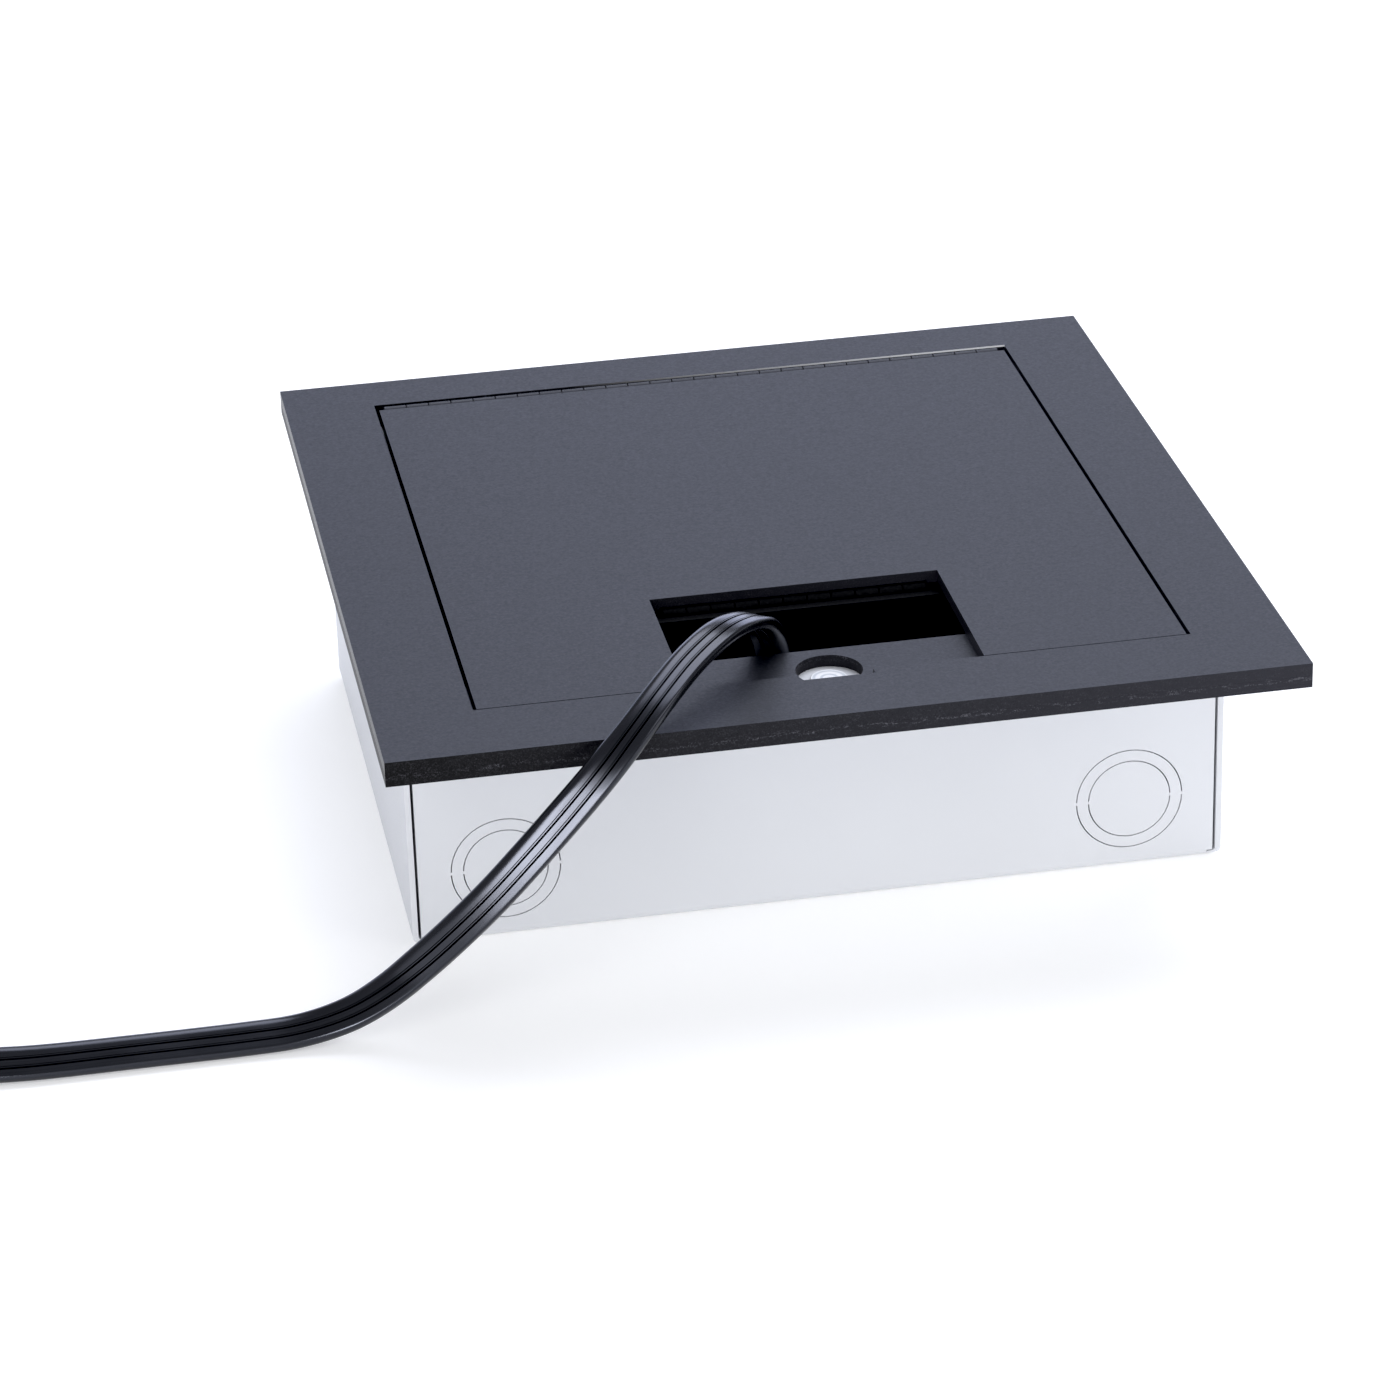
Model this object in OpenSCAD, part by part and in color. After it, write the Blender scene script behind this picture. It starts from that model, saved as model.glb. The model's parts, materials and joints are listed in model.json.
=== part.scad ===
// Recessed table box: a flush lid with a cable flap over a folded sheet-steel box.
// Millimetres, +Z up. Origin: under the middle of the plates, on the underside of the box.
// The cable notch and the finger hole are at the front, towards -Y; the lid hinge is at the back.

/* [Plates] */
// Width of the bezel plate and of the ledge plate
plate_w = 232.6; // [226:0.1:280]
// Depth of the bezel plate and of the ledge plate
plate_d = 239; // [232:0.1:290]
// Thickness of the bezel plate and of the lid
bezel_t = 3.4; // [3:0.1:5]
// Thickness of the ledge plate
ledge_t = 3.2; // [2.8:0.1:5]
// Bezel border at each side
border_side = 24.9; // [22:0.1:32]
// Bezel border at the front
border_front = 23.5; // [18:0.1:28]
// Bezel border at the back
border_back = 17; // [16:0.1:19]
// Depth of the ledge that shows in the notch
ledge_d = 20.4; // [18.5:0.1:21]
// Lip of the plates that rests on the table round the cut-out
lip = 9.5; // [8:0.1:11]

/* [Lid] */
// Gap between lid and bezel at each side
side_gap = 1; // [0.5:0.1:2]
// Gap between lid and bezel at the front
front_gap = 0.3; // [0.2:0.05:1]
// Width of the cable notch
notch_w = 76; // [60:0.1:90]
// Depth of the cable notch from the front of the bezel opening
notch_d = 52.7; // [45:0.1:56]
// Gap between the closed flap and the back of the notch
flap_gap = 0.5; // [0.4:0.05:1]
// Gap between the flap and each side of the notch
flap_side_gap = 0.4; // [0.3:0.05:1]
// Diameter of the finger hole in the ledge
finger_d = 17; // [12:0.1:18]
// Middle of the finger hole behind the front of the bezel opening
finger_in = 8.3; // [8:0.1:9]
// Width of the finger relief in the bezel
relief_w = 19; // [14:0.1:24]
// Depth of the finger relief in the bezel
relief_d = 2.8; // [2:0.1:5]
// Diameter of the catch disc under the finger hole
disc_d = 10; // [6:0.1:11]
// Thickness of the catch disc
disc_t = 1; // [0.8:0.1:2]

/* [Hinges] */
// Outer diameter of the hinge barrels
barrel_d = 3.1; // [2.8:0.1:3.4]
// Diameter of the hinge pins
pin_d = 1.5; // [1.2:0.1:1.6]
// Running clearance round a hinge pin, on the radius
pin_clear = 0.03; // [0.02:0.01:0.08]
// Length of one knuckle with its gap
knuckle_l = 6.35; // [5:0.05:8]
// Gap between neighbouring knuckles
knuckle_gap = 0.3; // [0.2:0.05:0.5]
// Thickness of the hinge leaves
leaf_t = 0.8; // [0.6:0.1:1]
// Width of the leaves of the lid hinge from the pin
lid_leaf_w = 11; // [10:0.1:11.5]
// Width of the leaves of the flap hinge from the pin
flap_leaf_w = 12; // [10:0.1:16]
// Gap between a barrel and the plates beside or over it
barrel_gap = 0.25; // [0.2:0.01:0.35]
// Gap between a barrel and the plate edges in the lid's hinge slot
slot_gap = 0.35; // [0.3:0.01:0.6]
// Diameter of the rivet shanks in the leaves
rivet_d = 2.4; // [2:0.1:2.8]
// Diameter of the countersunk rivet heads
rivet_head_d = 4; // [3.4:0.1:4.6]
// Clearance round rivets and screws, on the radius
fit_clear = 0.05; // [0.03:0.01:0.1]

/* [Box] */
// Overhang of the plates beyond each side wall of the box
side_lip = 9; // [8:0.1:13]
// Height of the box under the plates
box_h = 70.6; // [68:0.1:110]
// Front wall behind the front edge of the plates
front_set = 46.6; // [45.5:0.1:49]
// Back wall in front of the back edge of the plates
back_set = 29.5; // [27:0.1:34]
// Thickness of the sheet steel
sheet = 1.5; // [1.2:0.1:2]
// Outer radius of the bends
bend_r = 2.7; // [2.4:0.1:3]
// Width of the open seam at each corner
seam = 0.75; // [0.5:0.05:1.2]
// Width of the relief cut at the foot of each seam
seam_relief = 1.5; // [1:0.1:3]
// Height of the relief cut
relief_h = 0.45; // [0.3:0.05:1]
// Outer knockout diameter
ko_d = 28.6; // [24:0.1:32]
// Inner knockout diameter
ko_inner_d = 22.2; // [16:0.1:23]
// Width of the cut round a knockout
ko_kerf = 0.3; // [0.2:0.05:0.8]
// Width of the two tabs that hold each knockout ring
ko_tab = 0.8; // [0.6:0.1:4]
// Knockout middle from the outer face of the side wall
ko_in = 25; // [20:0.1:40]
// Knockout middle above the underside
ko_up = 19.8; // [18:0.1:30]
// Diameter of the fixing holes in the side walls
fix_d = 4.5; // [4:0.1:6]
// Distance between the two fixing holes of a side wall
fix_pitch = 120; // [90:1:140]
// Fixing holes below the plates
fix_down = 17; // [14:0.1:22]

/* [Screws] */
// Diameter of the screw shanks
screw_d = 3; // [2.5:0.1:3.2]
// Diameter of the screw heads
screw_head_d = 5.6; // [5:0.1:6]
// Height of the pan heads
screw_head_t = 1.8; // [1.4:0.1:2.4]
// Cover left over a blind screw or rivet hole
blind_cover = 0.8; // [0.6:0.1:1]
// Flange screws nearest the middle
flange_in = 32; // [25:1:45]
// Flange screws nearest the corners, from the end of the flange
flange_end = 21; // [17:1:35]

/* [Outlets] */
// Front of the device panel ahead of the back wall's outer face
panel_set = 28; // [26.5:0.1:30]
// Height of the device panel over the floor of the box
panel_h = 60; // [54:0.1:64]
// Gap between the panel and each side wall
panel_gap = 1.5; // [0.5:0.1:4]
// Depth of the panel's foot
foot_d = 16; // [14:0.1:20]
// Outer foot screws from the end of the panel
foot_in = 14.3; // [10:0.1:20]
// Earth screw from the outer face of the side wall
ground_in = 23.3; // [20:0.1:30]
// Earth screw ahead of the panel
ground_set = 14; // [10:0.1:20]
// Width of an outlet's body
outlet_w = 27; // [25:0.1:30]
// Height of an outlet's body
outlet_h = 34; // [32:0.1:36]
// Depth of an outlet behind the panel
outlet_d = 20; // [18:0.1:21]
// Rim of an outlet over its cut-out
outlet_rim = 2; // [1.5:0.1:3]
// Thickness of an outlet's rim
outlet_rim_t = 2; // [1.5:0.1:2.5]
// Distance from one outlet to the next
outlet_pitch = 40; // [36:0.5:48]
// Clearance round an outlet in its cut-out
outlet_clear = 0.2; // [0.1:0.05:0.4]
// Middle of the blank plate
blank_x = 48; // [40:1:55]
// Width of the blank plate
blank_w = 70; // [60:1:76]
// Height of the blank plate
blank_h = 42; // [36:1:44]
// Thickness of the blank plate
blank_t = 2; // [1.5:0.1:3]
// Border of the blank plate over its cut-out
blank_lap = 5; // [4.5:0.1:7]

/* [Plug and connector] */
// Spacing of the two flat blades
blade_pitch = 12.7; // [11:0.1:14]
// Thickness of a blade
blade_t = 1.5; // [1.2:0.1:1.8]
// Height of a blade
blade_h = 6.4; // [5:0.1:7]
// Length of a blade
blade_l = 15; // [12:0.1:15.5]
// Diameter of the earth pin
earth_d = 4.7; // [4:0.1:5]
// Earth pin below the blades
earth_down = 11.9; // [11:0.1:13]
// Middle of the blades over the middle of the plug
blade_up = 4.5; // [3:0.1:6]
// Clearance of blades and pin in their slots
blade_clear = 0.12; // [0.08:0.01:0.3]
// Width of the plug
plug_w = 25; // [22:0.5:30]
// Height of the plug
plug_h = 26; // [24:0.5:30]
// Width of the connector
conn_w = 19; // [16:0.5:22]
// Height of the connector
conn_h = 15; // [13:0.5:18]
// Length of the connector's body
conn_l = 28; // [22:0.5:32]
// Length of the connector's strain relief
conn_relief_l = 20; // [20:0.5:24]

/* [Cord] */
// Width of the flat three-core cord
cord_w = 9.6; // [8:0.1:11]
// Thickness of the cord
cord_t = 3.6; // [3:0.1:3.6]
// Depth of the two grooves in each face
cord_groove = 0.55; // [0.2:0.05:0.8]
// Turns of the coil
coil_turns = 3.25; // [2.25:0.25:4.25]
// Radius of the outermost turn
coil_r = 66.5; // [62:0.5:72]
// Distance from one turn to the next
coil_pitch = 4.2; // [4.1:0.1:5]
// Radius of the bend from the coil to the connector
coil_end_r = 24; // [20:0.5:26]
// Width of the tie
tie_w = 8; // [5:0.5:12]
// Thickness of the tie
tie_t = 0.7; // [0.5:0.1:0.9]
// Gap between the tie and the coil
tie_gap = 0.3; // [0.2:0.05:0.5]

/* [Hidden] */
$fn = 48;
eps = 0.01;

// Heights
ledge_z = box_h;
bezel_z = box_h + ledge_t;
top_z = bezel_z + bezel_t;

// Opening of the bezel
open_x = plate_w/2 - border_side;
open_yf = -plate_d/2 + border_front;
open_yb = plate_d/2 - border_back;
ledge_yf = open_yf + ledge_d;

// Hinges
barrel_r = barrel_d/2;
leaf_off = barrel_r + barrel_gap;
hinge_y = open_yb - slot_gap - barrel_r;
hinge_z = bezel_z + leaf_off;
lid_x = open_x - side_gap;
lid_yf = open_yf + front_gap;
lid_yb = hinge_y - barrel_r - slot_gap;
hinge_n = floor(2*lid_x/knuckle_l);
notch_yb = open_yf + notch_d;
flap_y = notch_yb - flap_gap/2;
flap_z = bezel_z + leaf_t - leaf_off;
flap_w = notch_w - 2*flap_side_gap;
flap_n = floor(flap_w/knuckle_l);
flap_l = notch_yb - flap_gap - lid_yf;
finger_y = open_yf + finger_in;
rivet_y = 7.5;
rivet_depth = bezel_t - leaf_t - blind_cover;

// Box
box_w = plate_w - 2*side_lip;
wall_yf = -plate_d/2 + front_set;
wall_yb = plate_d/2 - back_set;
flange_y = plate_d/2 - lip;
front_w = box_w - 2*sheet - 2*seam;
// Hairline between a side's foot and the bend beside it
relief_gap = 0.1;
box_ym = (wall_yf + wall_yb)/2;
flange_out = front_w/2 - flange_end;
screw_edge_x = plate_w/2 - side_lip/2;
screw_edge_y = plate_d/2 - lip/2;
flange_yf = (wall_yf - flange_y)/2 - 4;
flange_yb = (open_yb + flange_y)/2;

// Cord: each row is a point of the middle line and the direction across the flat of the cord
cord_route = [
    [[-22, 10, 27], [1, 0, 0]],
    [[-22, 5, 27], [1, 0, 0]],
    [[-22, 0, 27], [1, 0, 0]],
    [[-21.5, -10, 24], [1, 0, 0]],
    [[-20.5, -20, 18], [1, 0, 0]],
    [[-19, -30, 12], [1, 0, 0]],
    [[-17, -40, 8.5], [1, 0, 0]],
    [[-15, -50, 8], [1, 0, 0]],
    [[-12.5, -59, 11.5], [1, 0, 0]],
    [[-11, -65.5, 20], [1, 0, 0]],
    [[-10.5, -68, 32], [1, 0, 0]],
    [[-10.5, -68.5, 45], [1, 0, 0]],
    [[-10.5, -68.5, 58], [1, 0, 0]],
    [[-10.5, -68.5, 69], [1, -0.15, 0]],
    [[-12.5, -71.5, 77.5], [0.95, -0.35, 0]],
    [[-16.5, -78, 84.5], [0.85, -0.5, -0.05]],
    [[-22.5, -86, 88.5], [0.8, -0.6, -0.1]],
    [[-29.5, -94.5, 90], [0.8, -0.6, -0.15]],
    [[-38.5, -104.5, 88.5], [0.75, -0.65, -0.15]],
    [[-47, -114, 85], [0.75, -0.65, -0.15]],
    [[-56, -122, 79], [0.65, -0.7, -0.2]],
    [[-65, -127, 71.5], [0.6, -0.75, -0.3]],
    [[-74.5, -129.5, 62.5], [0.5, -0.8, -0.35]],
    [[-84, -130, 52.5], [0.45, -0.8, -0.4]],
    [[-93, -129, 42.5], [0.35, -0.8, -0.45]],
    [[-102, -126.5, 32.5], [0.3, -0.8, -0.5]],
    [[-110.5, -123, 23], [0.25, -0.8, -0.5]],
    [[-119.5, -119.5, 14], [0.15, -0.85, -0.5]],
    [[-129, -117, 7.5], [0.1, -0.85, -0.5]],
    [[-141, -116, 4], [0, -0.85, -0.5]],
    [[-155, -116, 3.4], [0, -0.85, -0.5]],
    [[-181, -116, 3.4], [0, -0.85, -0.5]],
    [[-206, -116, 3.6], [0, -0.8, -0.55]],
    [[-222, -115, 4.1], [0, -0.75, -0.65]],
    [[-238, -114, 4.8], [0, -0.6, -0.8]],
    [[-254, -113, 5.5], [0, -0.35, -0.95]],
    [[-266, -113, 5.8], [0, -0.1, -1]],
    [[-273, -113, 5.8], [0, 0, -1]],
    [[-280, -113, 5.8], [0, 0, -1]]
];

// Devices
panel_y = wall_yb - panel_set;
panel_w = box_w - 2*sheet - 2*panel_gap;
face_y = panel_y - outlet_rim_t;
outlet_x = cord_route[0][0][0];
outlet_z = cord_route[0][0][2];
outlet_xs = [outlet_x, outlet_x - outlet_pitch];
slot_z = outlet_z + blade_up;
earth_z = slot_z - earth_down;
foot_x = panel_w/2 - foot_in;
foot_xs = [-foot_x, 0, foot_x];
foot_y = panel_y + foot_d/2 + 1;
ground_x = box_w/2 - ground_in;
ground_y = panel_y - ground_set;
blank_hole_x = blank_w/2 - blank_lap/2;

// Plug
plug_l = 30;
relief_ribs = 4;
cord_start_y = cord_route[0][0][1];

plate_black = "#4b4d57";
edge_black = "#1d1d22";
box_white = "#dadee6";
steel = "#b9bcc2";
cord_black = "#26262a";

// Shapes that repeat

// Plain block from corner a to corner b
module block(a, b) {
    translate(a) cube(b - a);
}

// Quarter of a bent sheet: outer radius r, thickness t, in the quadrant that starts at angle a
module bend(r, t, a) {
    rotate(a) intersection() {
        difference() {
            circle(r);
            circle(r - t);
        }
        square(r + 1);
    }
}

// Row of x places for rivets in a hinge of n knuckles: two for every nine knuckles, at least four
function rivet_xs(n) = let (l = n*knuckle_l, k = max(4, 2*round(n/9)))
    [for (i = [0:k - 1]) -l/2 + l*(i + 0.5)/k];

// Knuckles and leaf of a hinge round the X axis: n knuckles in all, the ones of this leaf start at
// first, dir is +1 or -1 for the side in Y, low is the height of the leaf's lower face
module hinge_leaf(n, first, dir, low, w) {
    l = n*knuckle_l;
    root = barrel_r + slot_gap;
    difference() {
        union() {
            translate([-l/2, dir > 0 ? root : -w, low]) cube([l, w - root, leaf_t]);
            for (i = [first:2:n - 1]) translate([-l/2 + i*knuckle_l + knuckle_gap/2, 0, 0]) {
                rotate([0, 90, 0]) cylinder(r = barrel_r, h = knuckle_l - knuckle_gap);
                translate([0, dir > 0 ? 0 : -root - eps, low])
                    cube([knuckle_l - knuckle_gap, root + eps, leaf_t]);
            }
        }
        translate([-l/2 - 1, 0, 0]) rotate([0, 90, 0]) cylinder(r = pin_d/2 + pin_clear, h = l + 2);
        for (x = rivet_xs(n)) translate([x, dir*rivet_y, low]) {
            translate([0, 0, -1]) cylinder(d = rivet_d + 2*fit_clear, h = leaf_t + 2);
            rivet_cone(fit_clear);
        }
    }
}

// Countersunk head of a rivet, grown by c
module rivet_cone(c) {
    k = (rivet_head_d - rivet_d)/2;
    translate([0, 0, -eps]) cylinder(r1 = rivet_head_d/2 + c, r2 = rivet_d/2 + c, h = min(leaf_t, k) + eps);
}

// Rivets of a leaf, from its lower face up into the plate
module leaf_rivets(n, dir, low) {
    for (x = rivet_xs(n)) translate([x, dir*rivet_y, low]) {
        cylinder(d = rivet_d, h = leaf_t + rivet_depth - 0.1);
        cylinder(r1 = rivet_head_d/2, r2 = rivet_d/2, h = min(leaf_t, (rivet_head_d - rivet_d)/2));
    }
}

// Seat of a leaf in the underside of a plate, with the blind holes for its rivets
module leaf_seat(n, dir, low, w) {
    l = n*knuckle_l + 2*barrel_gap;
    translate([-l/2, dir > 0 ? -5 : -w - barrel_gap, low - 1]) cube([l, w + barrel_gap + 5, leaf_t + 1]);
    for (x = rivet_xs(n))
        translate([x, dir*rivet_y, low]) cylinder(d = rivet_d + 2*fit_clear, h = leaf_t + rivet_depth);
}

// Pan-head screw: head down from z = 0, shank of length l up
module pan_screw(l) {
    translate([0, 0, -screw_head_t]) cylinder(d = screw_head_d, h = screw_head_t);
    translate([0, 0, -eps]) cylinder(d = screw_d, h = l + eps);
}

module screw_hole(l) {
    cylinder(d = screw_d + 2*fit_clear, h = l);
}

// Places of the screws
module at_plate_screws() {
    for (x = [-1, 0, 1], y = [-1, 0, 1])
        if (x != 0 || y != 0) translate([x*screw_edge_x, y*screw_edge_y, ledge_z]) children();
}

module at_flange_screws() {
    for (x = [-flange_out, -flange_in, flange_in, flange_out]) {
        translate([x, flange_yf, ledge_z]) children();
        translate([x, flange_yb, ledge_z]) children();
    }
}

module at_foot_screws() {
    for (x = foot_xs) translate([x, foot_y, sheet]) children();
}

module at_blank_screws() {
    for (s = [-1, 1]) translate([blank_x + s*blank_hole_x, panel_y - blank_t, outlet_z]) children();
}

module in_lid_hinge() {
    translate([0, hinge_y, hinge_z]) children();
}

module in_notch_hinge() {
    translate([0, flap_y, flap_z]) children();
}

// The flap hangs: it is drawn closed round its pin and turned down
module in_flap() {
    in_notch_hinge() rotate([90, 0, 0]) children();
}

// Frame

module bezel_plate() color(plate_black) difference() {
    block([-plate_w/2, -plate_d/2, bezel_z], [plate_w/2, plate_d/2, top_z]);
    block([-open_x, open_yf, bezel_z - 1], [open_x, open_yb, top_z + 1]);
    block([-relief_w/2, open_yf - relief_d, bezel_z - 1], [relief_w/2, open_yf + 1, top_z + 1]);
    in_lid_hinge() leaf_seat(hinge_n, 1, -leaf_off, lid_leaf_w);
    at_plate_screws() screw_hole(ledge_t + bezel_t - blind_cover);
}

module ledge_plate() color(edge_black) difference() {
    block([-plate_w/2, -plate_d/2, ledge_z], [plate_w/2, plate_d/2, bezel_z]);
    block([-open_x, ledge_yf, ledge_z - 1], [open_x, open_yb, bezel_z + 1]);
    translate([0, finger_y, ledge_z - 1]) cylinder(d = finger_d, h = ledge_t + 2);
    at_plate_screws() {
        translate([0, 0, -1]) screw_hole(ledge_t + 2);
        translate([0, 0, -eps]) plate_screw_head(fit_clear);
    }
    at_flange_screws() translate([0, 0, -1]) screw_hole(1 + ledge_t - blind_cover/2);
}

module plate_screw_head(c) {
    k = (screw_head_d - screw_d)/2;
    cylinder(r1 = screw_head_d/2 + c, r2 = screw_d/2 + c, h = k);
}

module plate_screws() color(edge_black) at_plate_screws() {
    cylinder(d = screw_d, h = ledge_t + bezel_t - blind_cover - 0.2);
    plate_screw_head(0);
}

// Front wall and back wall with their bends and flanges, seen from the side
module box_profile() {
    translate([wall_yf + bend_r, bend_r]) bend(bend_r, sheet, 180);
    translate([wall_yb - bend_r, bend_r]) bend(bend_r, sheet, 270);
    for (y = [wall_yf, wall_yb - sheet]) translate([y, bend_r]) square([sheet, box_h - 2*bend_r]);
    translate([wall_yf + sheet - bend_r, box_h - bend_r]) bend(bend_r, sheet, 0);
    translate([wall_yb - sheet + bend_r, box_h - bend_r]) bend(bend_r, sheet, 90);
    translate([-flange_y, box_h - sheet]) square([wall_yf + sheet - bend_r + flange_y, sheet]);
    translate([wall_yb - sheet + bend_r, box_h - sheet])
        square([flange_y - wall_yb + sheet - bend_r, sheet]);
}

// Side wall with its bend into the floor, seen from the front
module side_profile() {
    translate([box_w/2 - bend_r, bend_r]) bend(bend_r, sheet, 270);
    translate([box_w/2 - sheet, bend_r]) square([sheet, box_h - bend_r]);
    translate([front_w/2 - seam_relief + relief_gap, 0])
        square([box_w/2 - bend_r - front_w/2 + seam_relief, sheet]);
}

// What the lower bends of the front and back walls leave out, seen from the side
module foot_waste() {
    difference() {
        translate([wall_yf - 1, -1]) square(bend_r + 1);
        translate([wall_yf + bend_r, bend_r]) circle(r = bend_r);
    }
    difference() {
        translate([wall_yb - bend_r, -1]) square(bend_r + 1);
        translate([wall_yb - bend_r, bend_r]) circle(r = bend_r);
    }
}

// One ring cut, broken by two tabs
module ring_cut(d) {
    difference() {
        circle(d = d);
        circle(d = d - 2*ko_kerf);
        square([d + 2, ko_tab], center = true);
    }
}

module box_shell() color(box_white) difference() {
    union() {
        block([bend_r - box_w/2, wall_yf + bend_r, 0], [box_w/2 - bend_r, wall_yb - bend_r, sheet]);
        difference() {
            rotate([90, 0, 90]) linear_extrude(front_w, center = true) box_profile();
            for (m = [0, 1]) mirror([m, 0, 0])
                for (y = [wall_yf, wall_yb - bend_r])
                    block([front_w/2 - seam_relief, y - 1, -1],
                        [front_w/2 + 1, y + bend_r + 1, sheet + relief_h]);
        }
        for (m = [0, 1]) mirror([m, 0, 0]) difference() {
            translate([0, wall_yb, 0]) rotate([90, 0, 0]) linear_extrude(wall_yb - wall_yf) side_profile();
            rotate([90, 0, 90]) linear_extrude(box_w) foot_waste();
        }
    }
    for (m = [0, 1]) mirror([m, 0, 0]) {
        for (y = [wall_yf, wall_yb - sheet])
            translate([box_w/2 - ko_in, y + sheet + 1, ko_up]) rotate([90, 0, 0])
                linear_extrude(sheet + 2) {
                    ring_cut(ko_d);
                    ring_cut(ko_inner_d);
                }
        for (s = [-1, 1])
            translate([box_w/2 - sheet - 1, box_ym + s*fix_pitch/2, box_h - fix_down])
                rotate([0, 90, 0]) cylinder(d = fix_d, h = sheet + 2);
    }
    at_flange_screws() translate([0, 0, -sheet - 1]) screw_hole(sheet + 2);
    at_foot_screws() translate([0, 0, -sheet - 1]) screw_hole(sheet + 2);
    translate([ground_x, ground_y, -1]) screw_hole(sheet + 2);
}

module flange_screws() color(steel) at_flange_screws()
    translate([0, 0, -sheet]) pan_screw(sheet + ledge_t - blind_cover/2 - 0.2);

module catch_disc() color(steel) translate([0, finger_y, box_h]) {
    cylinder(d = disc_d, h = disc_t*0.6);
    translate([0, 0, disc_t*0.6]) cylinder(d1 = disc_d, d2 = disc_d - disc_t*0.8, h = disc_t*0.4);
}

// Lid hinge

module frame_leaf() color(edge_black) in_lid_hinge() hinge_leaf(hinge_n, 0, 1, -leaf_off, lid_leaf_w);

module frame_leaf_rivets() color(edge_black) in_lid_hinge() leaf_rivets(hinge_n, 1, -leaf_off);

module lid_hinge_pin() color(steel) in_lid_hinge()
    translate([-hinge_n*knuckle_l/2, 0, 0]) rotate([0, 90, 0]) cylinder(d = pin_d, h = hinge_n*knuckle_l);

module lid_leaf() color(edge_black) in_lid_hinge() hinge_leaf(hinge_n, 1, -1, -leaf_off, lid_leaf_w);

module lid_leaf_rivets() color(edge_black) in_lid_hinge() leaf_rivets(hinge_n, -1, -leaf_off);

// Lid

module lid_plate() color(plate_black) difference() {
    block([-lid_x, lid_yf, bezel_z], [lid_x, lid_yb, top_z]);
    block([-notch_w/2, lid_yf - 1, bezel_z - 1], [notch_w/2, notch_yb, top_z + 1]);
    in_lid_hinge() leaf_seat(hinge_n, -1, -leaf_off, lid_leaf_w);
    in_notch_hinge() leaf_seat(flap_n, 1, leaf_off - leaf_t, flap_leaf_w);
}

module notch_leaf() color(edge_black) in_notch_hinge()
    hinge_leaf(flap_n, 0, 1, leaf_off - leaf_t, flap_leaf_w);

module notch_leaf_rivets() color(edge_black) in_notch_hinge() leaf_rivets(flap_n, 1, leaf_off - leaf_t);

module flap_hinge_pin() color(steel) in_notch_hinge()
    translate([-flap_n*knuckle_l/2, 0, 0]) rotate([0, 90, 0]) cylinder(d = pin_d, h = flap_n*knuckle_l);

// Flap

module flap_plate() color(plate_black) in_flap() difference() {
    block([-flap_w/2, -flap_gap/2 - flap_l, leaf_off - leaf_t],
        [flap_w/2, -flap_gap/2, leaf_off - leaf_t + bezel_t]);
    leaf_seat(flap_n, -1, leaf_off - leaf_t, flap_leaf_w);
}

module flap_leaf() color(edge_black) in_flap() hinge_leaf(flap_n, 1, -1, leaf_off - leaf_t, flap_leaf_w);

module flap_leaf_rivets() color(edge_black) in_flap() leaf_rivets(flap_n, -1, leaf_off - leaf_t);

// Devices in the box

module panel_profile() {
    translate([panel_y, sheet + bend_r]) square([sheet, panel_h - 2*bend_r]);
    translate([panel_y + bend_r, sheet + bend_r]) bend(bend_r, sheet, 180);
    translate([panel_y + bend_r, sheet]) square([foot_d - bend_r, sheet]);
    translate([panel_y + bend_r, sheet + panel_h - bend_r]) bend(bend_r, sheet, 90);
    translate([panel_y + bend_r, panel_h]) square([foot_d/2 - bend_r, sheet]);
}

module device_panel() color(edge_black) difference() {
    rotate([90, 0, 90]) linear_extrude(panel_w, center = true) panel_profile();
    for (x = outlet_xs)
        block([x - outlet_w/2 - outlet_clear, panel_y - 1, outlet_z - outlet_h/2 - outlet_clear],
            [x + outlet_w/2 + outlet_clear, panel_y + sheet + 1, outlet_z + outlet_h/2 + outlet_clear]);
    block([blank_x - blank_w/2 + blank_lap, panel_y - 1, outlet_z - blank_h/2 + blank_lap],
        [blank_x + blank_w/2 - blank_lap, panel_y + sheet + 1, outlet_z + blank_h/2 - blank_lap]);
    at_foot_screws() translate([0, 0, -1]) screw_hole(sheet + 2);
    at_blank_screws() rotate([-90, 0, 0]) screw_hole(blank_t + sheet + 1);
}

module panel_screws() color(steel) at_foot_screws()
    translate([0, 0, sheet]) rotate([180, 0, 0]) pan_screw(2*sheet - 0.2);

module outlet(x) {
    difference() {
        union() {
            block([x - outlet_w/2 - outlet_rim, face_y, outlet_z - outlet_h/2 - outlet_rim],
                [x + outlet_w/2 + outlet_rim, panel_y, outlet_z + outlet_h/2 + outlet_rim]);
            block([x - outlet_w/2, panel_y - eps, outlet_z - outlet_h/2],
                [x + outlet_w/2, panel_y + outlet_d, outlet_z + outlet_h/2]);
        }
        for (s = [-1, 1])
            translate([x + s*blade_pitch/2, face_y, slot_z])
                cube([blade_t + 2*blade_clear, 2*blade_l + 2, blade_h + 2*blade_clear], center = true);
        translate([x, face_y - 1, earth_z]) rotate([-90, 0, 0])
            cylinder(d = earth_d + 2*blade_clear, h = blade_l + 4);
    }
}

module outlet_right() color("#303036") outlet(outlet_xs[0]);

module outlet_left() color("#303036") outlet(outlet_xs[1]);

module blank_plate() color("#303036") difference() {
    block([blank_x - blank_w/2, panel_y - blank_t, outlet_z - blank_h/2],
        [blank_x + blank_w/2, panel_y, outlet_z + blank_h/2]);
    at_blank_screws() translate([0, -1, 0]) rotate([-90, 0, 0]) screw_hole(blank_t + 2);
}

module blank_screws() color(steel) at_blank_screws()
    rotate([-90, 0, 0]) pan_screw(blank_t + sheet - 0.1);

module ground_screw() color("#3f7f4f") translate([ground_x, ground_y, sheet])
    rotate([180, 0, 0]) pan_screw(sheet - 0.1);

// Plug in the right outlet

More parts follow.
